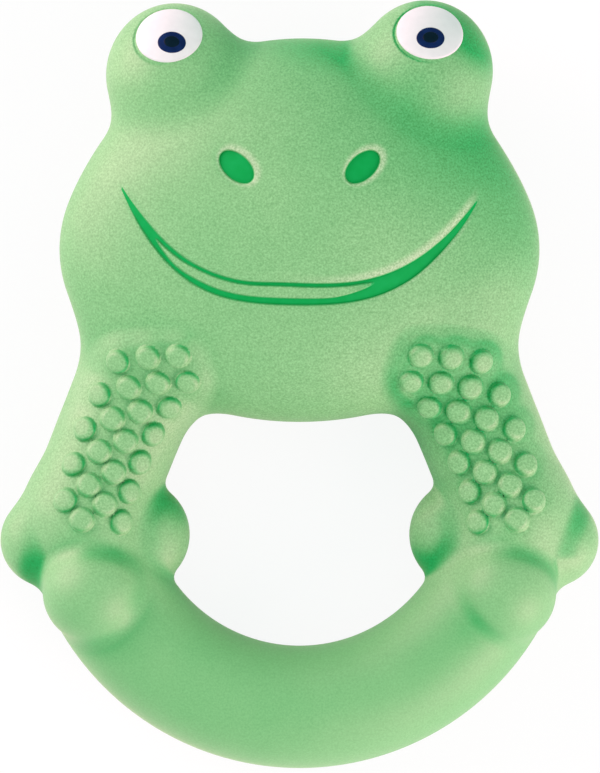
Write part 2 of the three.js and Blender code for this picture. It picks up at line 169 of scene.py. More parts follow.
# Fineness of the net and of the painted pieces, and the box that holds the net
NET_STEP = 0.5
NET_LOW = (-46, -43, -1)
NET_HIGH = (46, 77, 29.5)
BLOCK = 4
BLOCK_REACH = 1.3
BLOCK_MARGIN = 0.5
MOUTH_REACH = 1.05
PAD_CLEAR = 2
FINE_SINK = 0.08
EDGE_NEAR = 0.5
SNAP = 0.004
RING_SIDES = 64
LIP_STEPS = 160
LIP_ROWS = 7
LIP_ENDS = 0.985
NOSTRIL_RINGS = 8

# The way to the front, and how far off and in how many steps a surface is looked for
UP = np.array([0.0, 0.0, 1.0])
FRONT_REACH = 40
HALVINGS = 30

hoop_middle = BAR_THICKNESS / 2 - BACK_FLAT
jowl_middle = JOWL_SIZE[2] / 2 - BACK_FLAT
brow_middle = BROW_SIZE[2] / 2 - BACK_FLAT
hoop_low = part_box("grip_ring")[0]
hoop_centre = np.array([0, hoop_low.y / MM + HOOP_RADIUS + BAR_WIDTH / 2, 0])


def on_hoop(radius, degrees):
    angle = math.radians(degrees)
    return np.array([radius * math.cos(angle), radius * math.sin(angle)])


palm = on_hoop(HOOP_RADIUS, PALM_ANGLE)
shoulder = np.array([SHOULDER_SPREAD / 2, HEAD_LIFT - SHOULDER_DROP])
eye_centre = np.array([EYE_SPREAD / 2, HEAD_LIFT + EYE_RISE, EYE_MIDDLE])


def pebble(points, centre, size):
    """How far points lie outside a rounded form of three sizes."""
    half = np.asarray(size) / 2
    scaled = (points - centre) / half
    share = np.linalg.norm(scaled, axis=1)
    return share * (share - 1) / np.maximum(np.linalg.norm(scaled / half, axis=1), 1e-9)


def blended(one, other, valley):
    """Two forms run together over a rounded valley."""
    share = np.maximum(valley - np.abs(one - other), 0) / valley
    return np.minimum(one, other) - share * share * valley / 4


def ramp(low, high, value):
    """Smooth step from 0 at low to 1 at high."""
    t = np.clip((value - low) / (high - low), 0, 1)
    return t * t * (3 - 2 * t)


def spanned(start, full, past, end, value):
    """1 from full to past, run out smoothly to 0 at start and end."""
    return ramp(start, full, value) * ramp(end, past, value)


def folded(points):
    """Points on the left mirrored onto the right, with the eyes' lean taken out."""
    x, y, z = points.T
    lean = EYE_LEAN * ramp(HEAD_LIFT + BROW_RISE, HEAD_LIFT + EYE_RISE, y)
    return np.column_stack([np.abs(x), y - lean * x, z])


def turned(x, y, degrees):
    """Places turned anticlockwise in the plane."""
    angle = math.radians(degrees)
    return x * math.cos(angle) - y * math.sin(angle), x * math.sin(angle) + y * math.cos(angle)


def inside_oval(x, y, size, slant):
    """How far places lie inside a slanted oval."""
    half_length, half_width = size[0] / 2, size[1] / 2
    along, across = turned(x, y, -slant)
    u, v = along / half_length, across / half_width
    share = np.hypot(u, v)
    return share * (1 - share) / np.maximum(np.hypot(u / half_length, v / half_width), 1e-9)


def arm_field(points):
    along = palm - shoulder
    offset = points[:, :2] - shoulder
    share = np.clip(offset @ along / (along @ along), 0, 1)
    across = np.linalg.norm(offset - share[:, None] * along, axis=1)
    height = (points[:, 2] - hoop_middle) * ARM_WIDTH / BAR_THICKNESS
    return np.hypot(across, height) - ARM_WIDTH / 2


def bar_field(points):
    x, y = points[:, 0], points[:, 1]
    below = np.arctan2(y, x) < math.radians(PALM_ANGLE)
    across = np.where(below, np.hypot(x, y) - HOOP_RADIUS, np.hypot(x - palm[0], y - palm[1]))
    height = (points[:, 2] - hoop_middle) * BAR_WIDTH / BAR_THICKNESS
    return np.hypot(across, height) - BAR_WIDTH / 2


def body_field(points):
    """The rubber form without its fingers and its small details."""
    half = folded(points)
    jowls = pebble(half, (0, HEAD_LIFT, jowl_middle), JOWL_SIZE)
    brow = pebble(half, (0, HEAD_LIFT + BROW_RISE, brow_middle), BROW_SIZE)
    eyes = pebble(half, eye_centre, EYE_SIZE)
    head = blended(blended(jowls, brow, BROW_BLEND), eyes, EYE_BLEND)
    limbs = blended(arm_field(half), bar_field(half), HAND_BLEND)
    return blended(head, limbs, ARM_BLEND)


def finger_field(points, name):
    angle, roll, sunk, width, thickness = FINGERS[name]
    seat = on_hoop(BAR_WIDTH / 2 - sunk, roll)
    x, y = on_hoop(HOOP_RADIUS + seat[0], angle)
    height = hoop_middle + seat[1] * BAR_THICKNESS / BAR_WIDTH
    return pebble(folded(points), (x, y, height), (width, width, thickness))


arm_middle = (shoulder + palm) / 2
arm_angle = math.atan2(*(palm - shoulder)[::-1]) + math.radians(90 + NUB_TILT)
arc_way = np.array([math.cos(arm_angle), math.sin(arm_angle)])
nub_arc_centre = arm_middle - (NUB_ARC_RADIUS + NUB_INSET) * arc_way


def pad_place(points):
    """Where points lie on a chew pad: across its columns and along its rows, in millimetres."""
    offset = folded(points)[:, :2] - nub_arc_centre
    angle = np.arctan2(offset[:, 1], offset[:, 0]) - arm_angle
    step = angle * NUB_ARC_RADIUS / NUB_ROW_PITCH
    across = (np.linalg.norm(offset, axis=1) - NUB_ARC_RADIUS) / np.maximum(1 + NUB_FLARE * step, 0.5)
    along = (step + NUB_LAG * across / NUB_COLUMN_PITCH) * NUB_ROW_PITCH
    return across, along


def pad_outline(points):
    """How far points lie outside the chew pads' outline, seen from the front."""
    across, along = pad_place(points)
    half = (len(NUB_COLUMNS) - 1) / 2 * NUB_COLUMN_PITCH
    start = min(first for first, last in NUB_COLUMNS) * NUB_ROW_PITCH
    end = max(last for first, last in NUB_COLUMNS) * NUB_ROW_PITCH
    out_across = np.abs(across - half) - half
    out_along = np.abs(along - (start + end) / 2) - (end - start) / 2
    outside = np.hypot(np.maximum(out_across, 0), np.maximum(out_along, 0))
    inside = np.minimum(np.maximum(out_across, out_along), 0)
    return outside + inside - NUB_WIDTH / 2 - PAD_MARGIN


def nub_spots():
    """Plane places of the right chew pad's nubs."""
    spots = []
    for column, (first, last) in enumerate(NUB_COLUMNS):
        for row in np.arange(first, last + 0.5):
            step = row - NUB_LAG * column
            radius = NUB_ARC_RADIUS + column * NUB_COLUMN_PITCH * (1 + NUB_FLARE * step)
            angle = arm_angle + step * NUB_ROW_PITCH / NUB_ARC_RADIUS
            spots.append(nub_arc_centre + radius * np.array([math.cos(angle), math.sin(angle)]))
    return np.array(spots)


def slope_of(field, points, reach=0.01):
    """How fast a field rises along each axis."""
    slope = np.empty_like(points)
    for axis in range(3):
        step = np.zeros(3)
        step[axis] = reach
        slope[:, axis] = (field(points + step) - field(points - step)) / (2 * reach)
    return slope


def unit(vectors):
    return vectors / np.maximum(np.linalg.norm(vectors, axis=1, keepdims=True), 1e-9)


def body_along(start, way, level):
    """Points at a level over the body's surface, looked for from inside along a way."""
    inside = np.zeros(len(start))
    outside = np.full(len(start), FRONT_REACH)
    for _ in range(HALVINGS):
        middle = (inside + outside) / 2
        is_in = body_field(start + middle[:, None] * way) < level
        inside = np.where(is_in, middle, inside)
        outside = np.where(is_in, outside, middle)
    return start + inside[:, None] * way


def on_front(plane, level):
    """Points at a level over the front of the body, over places in the plane."""
    start = np.column_stack([plane, np.full(len(plane), hoop_middle)])
    return body_along(start, UP, level)


nub_plane = nub_spots()


def nub_gap(points):
    """How far points lie from the nubs' edges, seen from the front and smoothed between them."""
    plane = folded(points)[:, :2]
    nearness = np.zeros(len(points))
    for spot in nub_plane:
        nearness += np.exp(-np.linalg.norm(plane - spot, axis=1))
    return -np.log(np.maximum(nearness, 1e-9)) - NUB_WIDTH / 2


def pad_rise(points):
    """How far the chew pads stand proud of the arms."""
    along = pad_place(points)[1]
    return PAD_RISE * ramp(PAD_SLOPE, PAD_TOP, nub_gap(points)) * ramp(*PAD_FADE, along)


nub_bases = on_front(nub_plane, pad_rise(np.column_stack([nub_plane, np.zeros(len(nub_plane))])))
nub_ways = unit(slope_of(body_field, nub_bases))


def nub_field(points):
    """The nearest nub of either pad, a round-edged button with a low crown, seated on its pad."""
    half = folded(points)
    nearest = np.full(len(points), np.inf)
    for base, way in zip(nub_bases, nub_ways):
        offset = half - base
        height = offset @ way
        flat = np.linalg.norm(offset - height[:, None] * way, axis=1)
        crown = NUB_CROWN * np.maximum(1 - (flat / (NUB_WIDTH / 2)) ** 2, 0)
        out = flat - NUB_WIDTH / 2 + NUB_EDGE
        up = np.abs(height) - crown - NUB_HEIGHT + NUB_EDGE
        corner = np.hypot(np.maximum(out, 0), np.maximum(up, 0))
        nearest = np.minimum(nearest, corner + np.minimum(np.maximum(out, up), 0) - NUB_EDGE)
    return nearest


def lip_heights(x):
    """Height of the lower and the upper lip, and how steep each is, at places across the mouth."""
    share = np.abs(x) / (MOUTH_WIDTH / 2)
    heights = []
    for drop, power in (LOWER_LIP, UPPER_LIP):
        steep = drop * power * share ** (power - 1) / (MOUTH_WIDTH / 2)
        heights.append([drop * (share ** power - 1), np.hypot(1, steep)])
    place = x / (MOUTH_WIDTH / 2)
    heights[0][0] += LIP_LIFT * spanned(*LIFT_SPAN, place)
    heights[1][0] -= LIP_DROP * spanned(*DROP_SPAN, place)
    return heights


def mouth_place(plane):
    """Place across the mouth, and how far a point is above the lower lip and below the upper one."""
    offset = plane - (0, HEAD_LIFT + MOUTH_RISE)
    x, y = turned(*offset.T, -MOUTH_TILT)
    (lower, lower_steep), (upper, upper_steep) = lip_heights(x)
    return x / (MOUTH_WIDTH / 2), (y - lower) / lower_steep, (upper - y) / upper_steep


def mouth_depth(plane):
    """How deep the mouth is cut between the lips, which is less where they come together."""
    above, below = mouth_place(plane)[1:]
    return MOUTH_DEPTH * np.clip((above + below) / FULL_GAPE, 0, 1)


def mouth_sink(plane):
    """How deep the head's surface is sunk in the mouth and over its rounded lips."""
    share, above, below = mouth_place(plane)
    gape = np.maximum(above + below, 0)
    depth = mouth_depth(plane)
    soft = np.minimum(LIP_ROUND, LEAST_ROUND + GAPE_ROUND * gape)
    edge = EDGE_SHIFT * soft
    inside = ramp(-soft, soft, above - edge) * ramp(-soft, soft, below - edge)
    tongue = TONGUE_WIDTH * spanned(*TONGUE_SPAN, share)
    upper_line = UPPER_LINE[0] + (UPPER_LINE[1] - UPPER_LINE[0]) * ramp(*UPPER_LINE_SPAN, share)
    lower_line = 1 - tongue - upper_line
    on_tongue = ramp(-soft, soft, above - lower_line * gape + edge)
    on_tongue = on_tongue * ramp(-soft, soft, below - upper_line * gape + edge)
    on_tongue = on_tongue * ramp(*TONGUE_START, tongue)
    floor = depth * (1 - (1 - TONGUE_SHARE) * on_tongue)
    rounded = ramp(-UPPER_LIP_SOFT, soft, below) * ramp(-LOWER_LIP_SOFT, soft, above)
    fall = rounded * np.minimum(LIP_FALL, FLOOR_SHARE * depth)
    return fall + inside * (floor - fall)


def nostril_place(plane, side):
    """How far points lie inside one nostril's oval."""
    offset = plane - (side * NOSTRIL_SPREAD / 2, HEAD_LIFT + NOSTRIL_RISE)
    return inside_oval(offset[:, 0], offset[:, 1], NOSTRIL_SIZE, side * NOSTRIL_SLANT)


def nostril_sink(plane, side):
    inside = nostril_place(plane, side)
    fall = NOSTRIL_FALL * ramp(-NOSTRIL_SOFT, NOSTRIL_ROUND, inside)
    return fall + (NOSTRIL_DEPTH - fall) * ramp(-NOSTRIL_ROUND, NOSTRIL_ROUND, inside)


def eye_frame(side):
    """The way one eye looks, and the directions to its right and upward."""
    tilt, turn = math.radians(EYE_TILT), math.radians(side * EYE_TURN)
    way = np.array([math.cos(tilt) * math.sin(turn), math.sin(tilt), math.cos(tilt) * math.cos(turn)])
    right = np.array([math.cos(turn), 0, -math.sin(turn)])
    return way, right, np.cross(way, right)


def eye_edge(points):
    """How far points lie inside the outline of a painted eye, and far from it behind the eye's centre."""
    way, right, upward = eye_frame(1)
    offset = folded(points) - eye_centre
    edge = inside_oval(offset @ right, offset @ upward, WHITE_SIZE, WHITE_SLANT)
    return np.where(offset @ way > 0, edge, -EYE_SIZE[0])


def face_sink(points):
    """How deep the mouth, the nostrils and the eyes' rims are sunk, on the front of the head only."""
    plane = points[:, :2]
    sink = mouth_sink(plane)
    for side in (-1, 1):
        sink = np.maximum(sink, nostril_sink(plane, side))
    rim = EYE_RIM_DEPTH * np.exp(-((eye_edge(points) + EYE_RIM_OUT) / (EYE_RIM / 2)) ** 2)
    right_of_eye = plane[:, 0] - np.sign(plane[:, 0]) * EYE_SPREAD / 2
    rim = rim * ramp(WHITE_SIZE[0] / 2, -WHITE_SIZE[0] / 3, right_of_eye)
    return np.maximum(sink, rim) * ramp(hoop_middle, jowl_middle + FACE_RISE, points[:, 2])


def skin_field(points):
    """The whole rubber form, with fingers, nubs, mouth and nostrils, and its back pressed flat."""
    value = body_field(points)
    for name in FINGERS:
        value = blended(value, finger_field(points, name), FINGER_BLEND)
    off_pad = pad_outline(points)
    front = points[:, 2] > hoop_middle
    near_pad = (off_pad < PAD_SLOPE) & front & (np.abs(value) < NEAR_PAD)
    if near_pad.any():
        raised = value[near_pad] - pad_rise(points[near_pad])
        value[near_pad] = blended(raised, nub_field(points[near_pad]), NUB_BLEND)
    face = (points[:, 1] > HEAD_LIFT - FACE_DROP) & front & (np.abs(value) < NEAR_FACE)
    if face.any():
        value[face] += face_sink(points[face])
    return -blended(-value, points[:, 2], BACK_BLEND)


def in_chunks(field, points, size=200000):
    return np.concatenate([field(points[at:at + size]) for at in range(0, len(points), size)])


def sampled(field, low, counts, step):
    """A field's values on a grid, worked out only near its surface."""
    blocks = [-(-count // BLOCK) for count in counts]
    middles = np.argwhere(np.ones(blocks))
    centres = low + (middles + 0.5) * BLOCK * step
    rough = in_chunks(field, centres)
    near = np.abs(rough) < BLOCK * step * BLOCK_REACH + BLOCK_MARGIN
    values = np.kron(rough.reshape(blocks), np.ones([BLOCK] * 3))
    inner = np.argwhere(np.ones([BLOCK] * 3))
    nodes = (middles[near][:, None] * BLOCK + inner).reshape(-1, 3)
    values[tuple(nodes.T)] = in_chunks(field, low + nodes * step)
    return values[:counts[0], :counts[1], :counts[2]]


def settled(field, points, passes=2):
    """Points slid onto a field's surface."""
    for _ in range(passes):
        value = in_chunks(field, points)
        slope = np.concatenate([slope_of(field, part) for part in np.array_split(points, 8)])
        steep = np.maximum(np.einsum("ij,ij->i", slope, slope), 0.2)
        points = points - slope * np.clip(value / steep, -NET_STEP, NET_STEP)[:, None]
    return points


def quads(a, b, c, d):
    """Two triangles to each four-sided face."""
    return [np.column_stack([a, b, c]), np.column_stack([a, c, d])]


def wrapped(field, low, high, step):
    """A closed net of triangles on a field's surface, with one corner to each grid cell it crosses."""
    counts = np.ceil((high - low) / step).astype(int) + 1
    values = sampled(field, low, counts, step)
    inside = values < 0
    total = np.zeros([*(counts - 1), 3])
    found = np.zeros(counts - 1)
    crossings = []
    ways = np.eye(3, dtype=int)
    for axis in range(3):
        spots = np.argwhere(np.diff(inside, axis=axis))
        next_spots = spots + ways[axis]
        low_value, high_value = values[tuple(spots.T)], values[tuple(next_spots.T)]
        place = spots.astype(float)
        place[:, axis] += low_value / (low_value - high_value)
        side, up = ways[(axis + 1) % 3], ways[(axis + 2) % 3]
        crossings.append((spots, side, up, low_value < 0))
        for cell in (spots, spots - side, spots - up, spots - side - up):
            np.add.at(total, tuple(cell.T), place)
            np.add.at(found, tuple(cell.T), 1)
    cells = np.argwhere(found > 0)
    number = np.full(counts - 1, -1)
    number[tuple(cells.T)] = np.arange(len(cells))
    corners = low + total[tuple(cells.T)] / found[tuple(cells.T)][:, None] * step
    triangles = []
    for spots, side, up, faces_up in crossings:
        quad = [number[tuple(cell.T)] for cell in (spots - side - up, spots - up, spots, spots - side)]
        flipped = (quad[0], quad[3], quad[2], quad[1])
        a, b, c, d = [np.where(faces_up, one, other) for one, other in zip(quad, flipped)]
        triangles += quads(a, b, c, d)
    return settled(field, corners), np.concatenate(triangles)


def edge_numbers(triangles):
    """The net's edges as pairs of corners, and each triangle's three edges by number."""
    pairs = np.sort(np.stack([triangles, np.roll(triangles, -1, 1)], -1).reshape(-1, 2), 1)
    edges, numbers = np.unique(pairs, axis=0, return_inverse=True)
    return edges, numbers.reshape(-1, 3)


def refined(field, corners, triangles, wanted):
    """The net with every wanted edge halved, and the new corners slid onto the surface."""
    edges, numbers = edge_numbers(triangles)
    middles = corners[edges].mean(1)
    halved = wanted(middles)
    new_number = np.full(len(edges), -1)
    new_number[halved] = len(corners) + np.arange(halved.sum())
    corners = np.concatenate([corners, settled(field, middles[halved], 1)])
    cut = new_number[numbers]
    made = []
    for pattern in range(8):
        flags = [bool(pattern >> bit & 1) for bit in range(3)]
        chosen = np.all((cut >= 0) == flags, axis=1)
        turn = flags.index(True) if sum(flags) == 1 else 0
        turn = (flags.index(False) + 1) % 3 if sum(flags) == 2 else turn
        a, b, c = np.roll(triangles[chosen], -turn, 1).T
        ab, bc, ca = np.roll(cut[chosen], -turn, 1).T
        fans = {
            0: [(a, b, c)],
            1: [(a, ab, c), (ab, b, c)],
            2: [(ab, b, bc), (a, ab, bc), (a, bc, c)],
            3: [(a, ab, ca), (ab, b, bc), (ca, bc, c), (ab, bc, ca)],
        }[sum(flags)]
        made += [np.column_stack(fan) for fan in fans]
    return corners, np.concatenate(made)


def parted(corners, triangles, sides, values):
    """The net cut along the line where values cross zero, with each triangle's side of each cut."""
    values = np.where(np.abs(values) < SNAP, SNAP, values)
    inside = values < 0
    count = inside[triangles].sum(1)
    whole = (count == 0) | (count == 3)
    crossing = triangles[~whole]
    alone_inside = count[~whole] == 1
    marks = inside[crossing] == alone_inside[:, None]
    turn = marks.argmax(1)
    order = (turn[:, None] + np.arange(3)) % 3
    a, b, c = np.take_along_axis(crossing, order, 1).T
    pairs = np.sort(np.concatenate([np.column_stack([a, b]), np.column_stack([a, c])]), 1)
    edges, numbers = np.unique(pairs, axis=0, return_inverse=True)
    share = values[edges[:, 0]] / (values[edges[:, 0]] - values[edges[:, 1]])
    fresh = corners[edges[:, 0]] + share[:, None] * (corners[edges[:, 1]] - corners[edges[:, 0]])
    ab, ac = len(corners) + numbers.reshape(2, -1)
    made = np.concatenate([
        triangles[whole],
        np.column_stack([a, ab, ac]),
        np.column_stack([ab, b, c]),
        np.column_stack([ab, c, ac]),
    ])
    kept = np.concatenate([sides[whole]] + [sides[~whole]] * 3)
    now = np.concatenate([count[whole] == 3, alone_inside, ~alone_inside, ~alone_inside])
    return np.concatenate([corners, fresh]), made, np.column_stack([kept, now])


def rim_edges(triangles):
    """Edges along the open rims of some triangles, and the triangle that each belongs to."""
    edges = np.concatenate([triangles[:, [0, 1]], triangles[:, [1, 2]], triangles[:, [2, 0]]])
    owner = np.tile(np.arange(len(triangles)), 3)
    codes = edges[:, 0] * (triangles.max() + 1) + edges[:, 1]
    back = edges[:, 1] * (triangles.max() + 1) + edges[:, 0]
    free = ~np.isin(codes, back)
    return edges[free], owner[free]


def rims(triangles):
    """Closed loops of corners along the open rims of some triangles."""
    follow = {}
    for start, end in rim_edges(triangles)[0].tolist():
        follow.setdefault(start, []).append(end)
    loops = []
    while follow:
        first = next(iter(follow))
        loop = [first]
        while True:
            ends = follow[loop[-1]]
            end = ends.pop()
            if not ends:
                del follow[loop[-1]]
            if end == first:
                break
            loop.append(end)
        loops.append(loop)
    return loops


def closed_piece(corners, triangles):
    """The chosen triangles with their own corners, and each open rim closed by a fan."""
    used, local = np.unique(triangles, return_inverse=True)
    places = [corners[used]]
    faces = [local.reshape(-1, 3)]
    count = len(used)
    for loop in rims(faces[0]):
        places.append(places[0][loop].mean(0)[None])
        ahead = np.roll(loop, -1)
        faces.append(np.column_stack([ahead, loop, np.full(len(loop), count)]))
        count += 1
    return np.concatenate(places), np.concatenate(faces), used


def to_frame(points):
    return (points + hoop_centre) * MM


def placed(name, data):
    """A new object in the scene."""
    made = bpy.data.objects.new(name, data)
    bpy.context.scene.collection.objects.link(made)
    return made


def add_piece(name, node, slot, corners, triangles, material, normals=None, amounts=None):
    """One piece of the toy, in place of its solid."""
    mesh = bpy.data.meshes.new(name)
    mesh.from_pydata(to_frame(corners), [], triangles)
    mesh.validate()
    mesh.shade_smooth()
    if normals is not None:
        mesh.normals_split_custom_set_from_vertices(normals.tolist())
    for label, values in (amounts or {}).items():
        layer = mesh.attributes.new(label, "FLOAT", "POINT")
        layer.data.foreach_set("value", values.astype(np.float32))
    mesh.materials.append(material)
    piece = placed(name, mesh)
    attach(piece, "root")
    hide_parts(node)


# Materials
def new_material(name, **sockets):
    material = bpy.data.materials.new(name)
    material.use_nodes = True
    shader = material.node_tree.nodes["Principled BSDF"]
    for socket, value in sockets.items():
        shader.inputs[socket.replace("_", " ")].default_value = value
    return material, shader


def noise(tree, scale, detail, roughness=0.5):
    place = tree.nodes.new("ShaderNodeTexCoord")
    made = tree.nodes.new("ShaderNodeTexNoise")
    made.inputs["Scale"].default_value = scale
    made.inputs["Detail"].default_value = detail
    made.inputs["Roughness"].default_value = roughness
    tree.links.new(place.outputs["Object"], made.inputs["Vector"])
    return made.outputs["Fac"]


def attribute(tree, name):
    made = tree.nodes.new("ShaderNodeAttribute")
    made.attribute_name = name
    return made.outputs["Fac"]


def colours(tree, amount, stops):
    made = tree.nodes.new("ShaderNodeValToRGB")
    for stop, (position, colour) in zip(made.color_ramp.elements, stops):
        stop.position = position
        stop.color = (*colour, 1)
    tree.links.new(amount, made.inputs["Fac"])
    return made.outputs["Color"]


def mixed(tree, amount, one, other, how="MIX"):
    made = tree.nodes.new("ShaderNodeMix")
    made.data_type = "RGBA"
    made.blend_type = how
    tree.links.new(amount, made.inputs["Factor"])
    for socket, colour in zip(made.inputs[6:8], (one, other)):
        if isinstance(colour, tuple):
            socket.default_value = (*colour, 1)
        else:
            tree.links.new(colour, socket)
    return made.outputs[2]


def add_bump(tree, shader, height, strength, distance):
    made = tree.nodes.new("ShaderNodeBump")
    made.inputs["Strength"].default_value = strength
    made.inputs["Distance"].default_value = distance
    tree.links.new(height, made.inputs["Height"])
    tree.links.new(made.outputs["Normal"], shader.inputs["Normal"])


RUBBER_GREEN = (0.162, 0.47, 0.17)
RUBBER_PALE = (0.2, 0.5, 0.195)
# The deep green is a painted shade colour, laid into valleys and on shaded slopes.
PAINTED_SHADE_GREEN = (0.004, 0.36, 0.085)
# The pale green is a painted highlight colour, laid on lit rims.
PAINTED_HIGHLIGHT_GREEN = (0.33, 0.56, 0.29)
SPECKLE_DARK = (0.55, 0.74, 0.6)
SPECKLE_LIGHT = (1.37, 1.22, 1.34)
CLOUD_SCALE = 55
GRAIN_SCALE = 3400
BLOTCH_SCALE = 700


def rubber_material():
    """Clouded green rubber with a fine grain, with painted shade deep and dull in the creases and painted
    highlights pale on the rims.
    """
    material, shader = new_material(
        "soft_rubber", Roughness=0.6, Specular_Tint=(1, 0.82, 0.82, 1),
        Sheen_Weight=0.3, Sheen_Roughness=0.5, Sheen_Tint=(0.9, 1, 0.7, 1))
    tree = material.node_tree
    cloud = colours(tree, noise(tree, CLOUD_SCALE, 3), [(0.35, RUBBER_GREEN), (0.68, RUBBER_PALE)])
    grain = noise(tree, GRAIN_SCALE, 2, 0.6)
    speckle = colours(tree, grain, [(0.3, SPECKLE_DARK), (0.7, SPECKLE_LIGHT)])
    painted_shade_and_tone = attribute(tree, "painted_shade_and_tone")
    # Painted shade: the clouded green is mixed towards the deep green where the shade attribute is high.
    shade_mixed = mixed(tree, painted_shade_and_tone, cloud, PAINTED_SHADE_GREEN)
    # Painted highlight: the colour is mixed towards the pale green on lit rims.
    highlighted = mixed(tree, attribute(tree, "rim"), shade_mixed, PAINTED_HIGHLIGHT_GREEN)
    grainy = mixed(tree, attribute(tree, "grain"), highlighted, speckle, "MULTIPLY")
    # Painted shade also lowers the specular level, so shaded places look dull.
    gloss = colours(tree, painted_shade_and_tone, [(0, (1, 1, 1)), (1, (0.1, 0.1, 0.1))])
    tree.links.new(grainy, shader.inputs["Base Color"])
    tree.links.new(gloss, shader.inputs["Specular IOR Level"])
    add_bump(tree, shader, grain, 0.25, 0.12 * MM)
    return material


def paint_material(name, colour, other, roughness, gloss):
    """Paint that varies a little between two colours."""
    material, shader = new_material(name, Roughness=roughness, Specular_IOR_Level=gloss)
    tree = material.node_tree
    blotch = noise(tree, BLOTCH_SCALE, 2)
    tree.links.new(colours(tree, blotch, [(0.35, colour), (0.7, other)]), shader.inputs["Base Color"])
    add_bump(tree, shader, blotch, 0.1, 0.05 * MM)
    return material


rubber = rubber_material()
# Floors of the mouth and nostrils: a dark green that is partly their own paint and partly painted shade.
groove_paint = paint_material("groove_paint", (0.002, 0.34, 0.066), (0.004, 0.36, 0.078), 0.6, 0.08)
white_paint = paint_material("eye_white_paint", (0.67, 0.72, 0.695), (0.7, 0.75, 0.725), 0.5, 0.2)
iris_paint = paint_material("eye_iris_paint", (0.002, 0.012, 0.06), (0.004, 0.02, 0.09), 0.35, 0.08)
pupil_paint = paint_material("eye_pupil_paint", (0.0006, 0.008, 0.016), (0.001, 0.011, 0.022), 0.3, 0.08)


# Skin of the rubber pieces
def detail_spots(points):
    """Where the net is made finer: round the mouth, the nostrils and the eyes, and over the chew pads."""
    share, above, below = mouth_place(points[:, :2])
    wanted = (below > -UPPER_LIP_SOFT) & (above > -LOWER_LIP_SOFT) & (np.abs(share) < MOUTH_REACH)
    for side in (-1, 1):
        wanted |= nostril_place(points[:, :2], side) > -NOSTRIL_SOFT
    wanted |= np.abs(eye_edge(points)) < 2 * EYE_RIM
    front = points[:, 2] > hoop_middle
    return (wanted & (points[:, 2] > jowl_middle)) | ((pad_outline(points) < PAD_SLOPE) & front)


def fine_spots(points):
    """Where the net is made finer once more: in the mouth and the nostrils, and along the eyes' rims."""
    clear = (points[:, 2] > jowl_middle) & (pad_outline(points) > PAD_CLEAR)
    return clear & (face_sink(points) > FINE_SINK)


def edge_spots(points):
    """Where the net is finest: along the edges of the painted grooves."""
    plane = points[:, :2]
    floor = FLOOR_SHARE * mouth_depth(plane)
    wanted = (np.abs(mouth_sink(plane) - floor) < EDGE_NEAR * floor) & (floor > 0)
    for side in (-1, 1):
        wanted |= np.abs(nostril_sink(plane, side) - FLOOR_SHARE * NOSTRIL_DEPTH) < EDGE_NEAR
    return wanted & (points[:, 2] > jowl_middle)


# Painted shade, a deep green laid into the valleys: reaches over which walls are felt, with their weights,
# how it changes with the way that slopes face, and its strength round the left and right fingers
CREASE_REACH = ((0.5, 0.15), (1.5, 0.5), (4, 1.1), (9, 1.2), (16, 1))
CREASE_FACING = {"level": 0.5, "gain": 0.45, "loss": 0.65, "low_side": 0.6}
CREASE_MOST = 1.2
FINGER_CREASE = {"outer": (6.5, 15), "inner": (3, 7), "front": (2.8, 2)}
FINGER_NEAR = 1.2
VALLEY_LEAN = 0.7
LEAN_SPAN = 8

# A darker tone over the hoop, painted shade towards the brow's upper right, and painted shade on the eye
# mounds' upper right
HOOP_TONE = 0.27
HOOP_SPAN = (-6, -24)
BROW_SHADE = 0.25
BROW_SPAN = (-6, 40)
BROW_SLANT = 0.9
MOUND_SHARE = 0.25
MOUND_EDGE = (-0.3, 1.8)
EYE_SHADE = 0.6
EYE_FACING = (0.4, 1)
EYE_SPAN = (-3, 4)
EYE_SLANT = 0.4

# Painted shade on the chew pads' sides, between the right pad's nubs and on the nubs' sides
PAD_SHADE = 1.2
PAD_FACING = {"level": 0.1, "gain": 1, "loss": 1, "low_side": 0.5}
PAD_TURN = 30
PAD_GAP_SHADE = 0.5
TONE_SHIFT = (0.8, 0.8, 0)
TONE_FADE = (-14, 8)
NUB_FOOT = (0.5, 0.1)
NUB_SHADE = 0.8
NUB_WALL = (0.1, 0.3, 0.6, 0.95)
NUB_NEAR = 0.5

# Painted shade in the mouth and the nostrils, where they are sunk and where the mouth's lines meet
GROOVE_SINK = (0.18, 0.36)
LINES_MEET = (0.25, 0.55)

# Painted highlights: pale rims of the nostrils, of the lips and of the chew pads' lit sides
RIM_WIDTH = 1.2
RIM_CORE = 0.36
RIM_SHIFT = (0.35, 0.25)
RIM_CLEAR = (0.1, 0.4)
LIP_RIM = (-0.4, -0.35, -0.1)
UPPER_RIM = (UPPER_LIP_SOFT, (-0.1, 0.5), 1)
LOWER_RIM = (LOWER_LIP_SOFT, (0.2, 0.7), 0.5)
RIM_END = (1, 0.92)
PAD_HIGHLIGHT = 0.4
HIGHLIGHT_FACING = (0.1, 0.7)

# Grain: least on the ring, and most on the right of the head
RING_GRAIN = 0.35
LEFT_GRAIN = 0.75
GRAIN_RISE = (-24, 4)
GRAIN_LEAN = (-15, 25)


def slopes(normals, turn=0):
    """How far surfaces face up to the right, and down to the right, both turned by some degrees."""
    angle = np.radians(45 + turn)
    right, up = math.sqrt(2) * normals[:, :2].T
    return right * np.cos(angle) + up * np.sin(angle), right * np.sin(angle) - up * np.cos(angle)


def shade(normals, level, gain, loss, low_side, turn=0):
    """How much painted shade surfaces get by the way they face: most up to the right, least down to the
    right.
    """
    rising, falling = slopes(normals, turn)
    return level + gain * np.maximum(rising, -low_side * rising) - loss * np.abs(falling)


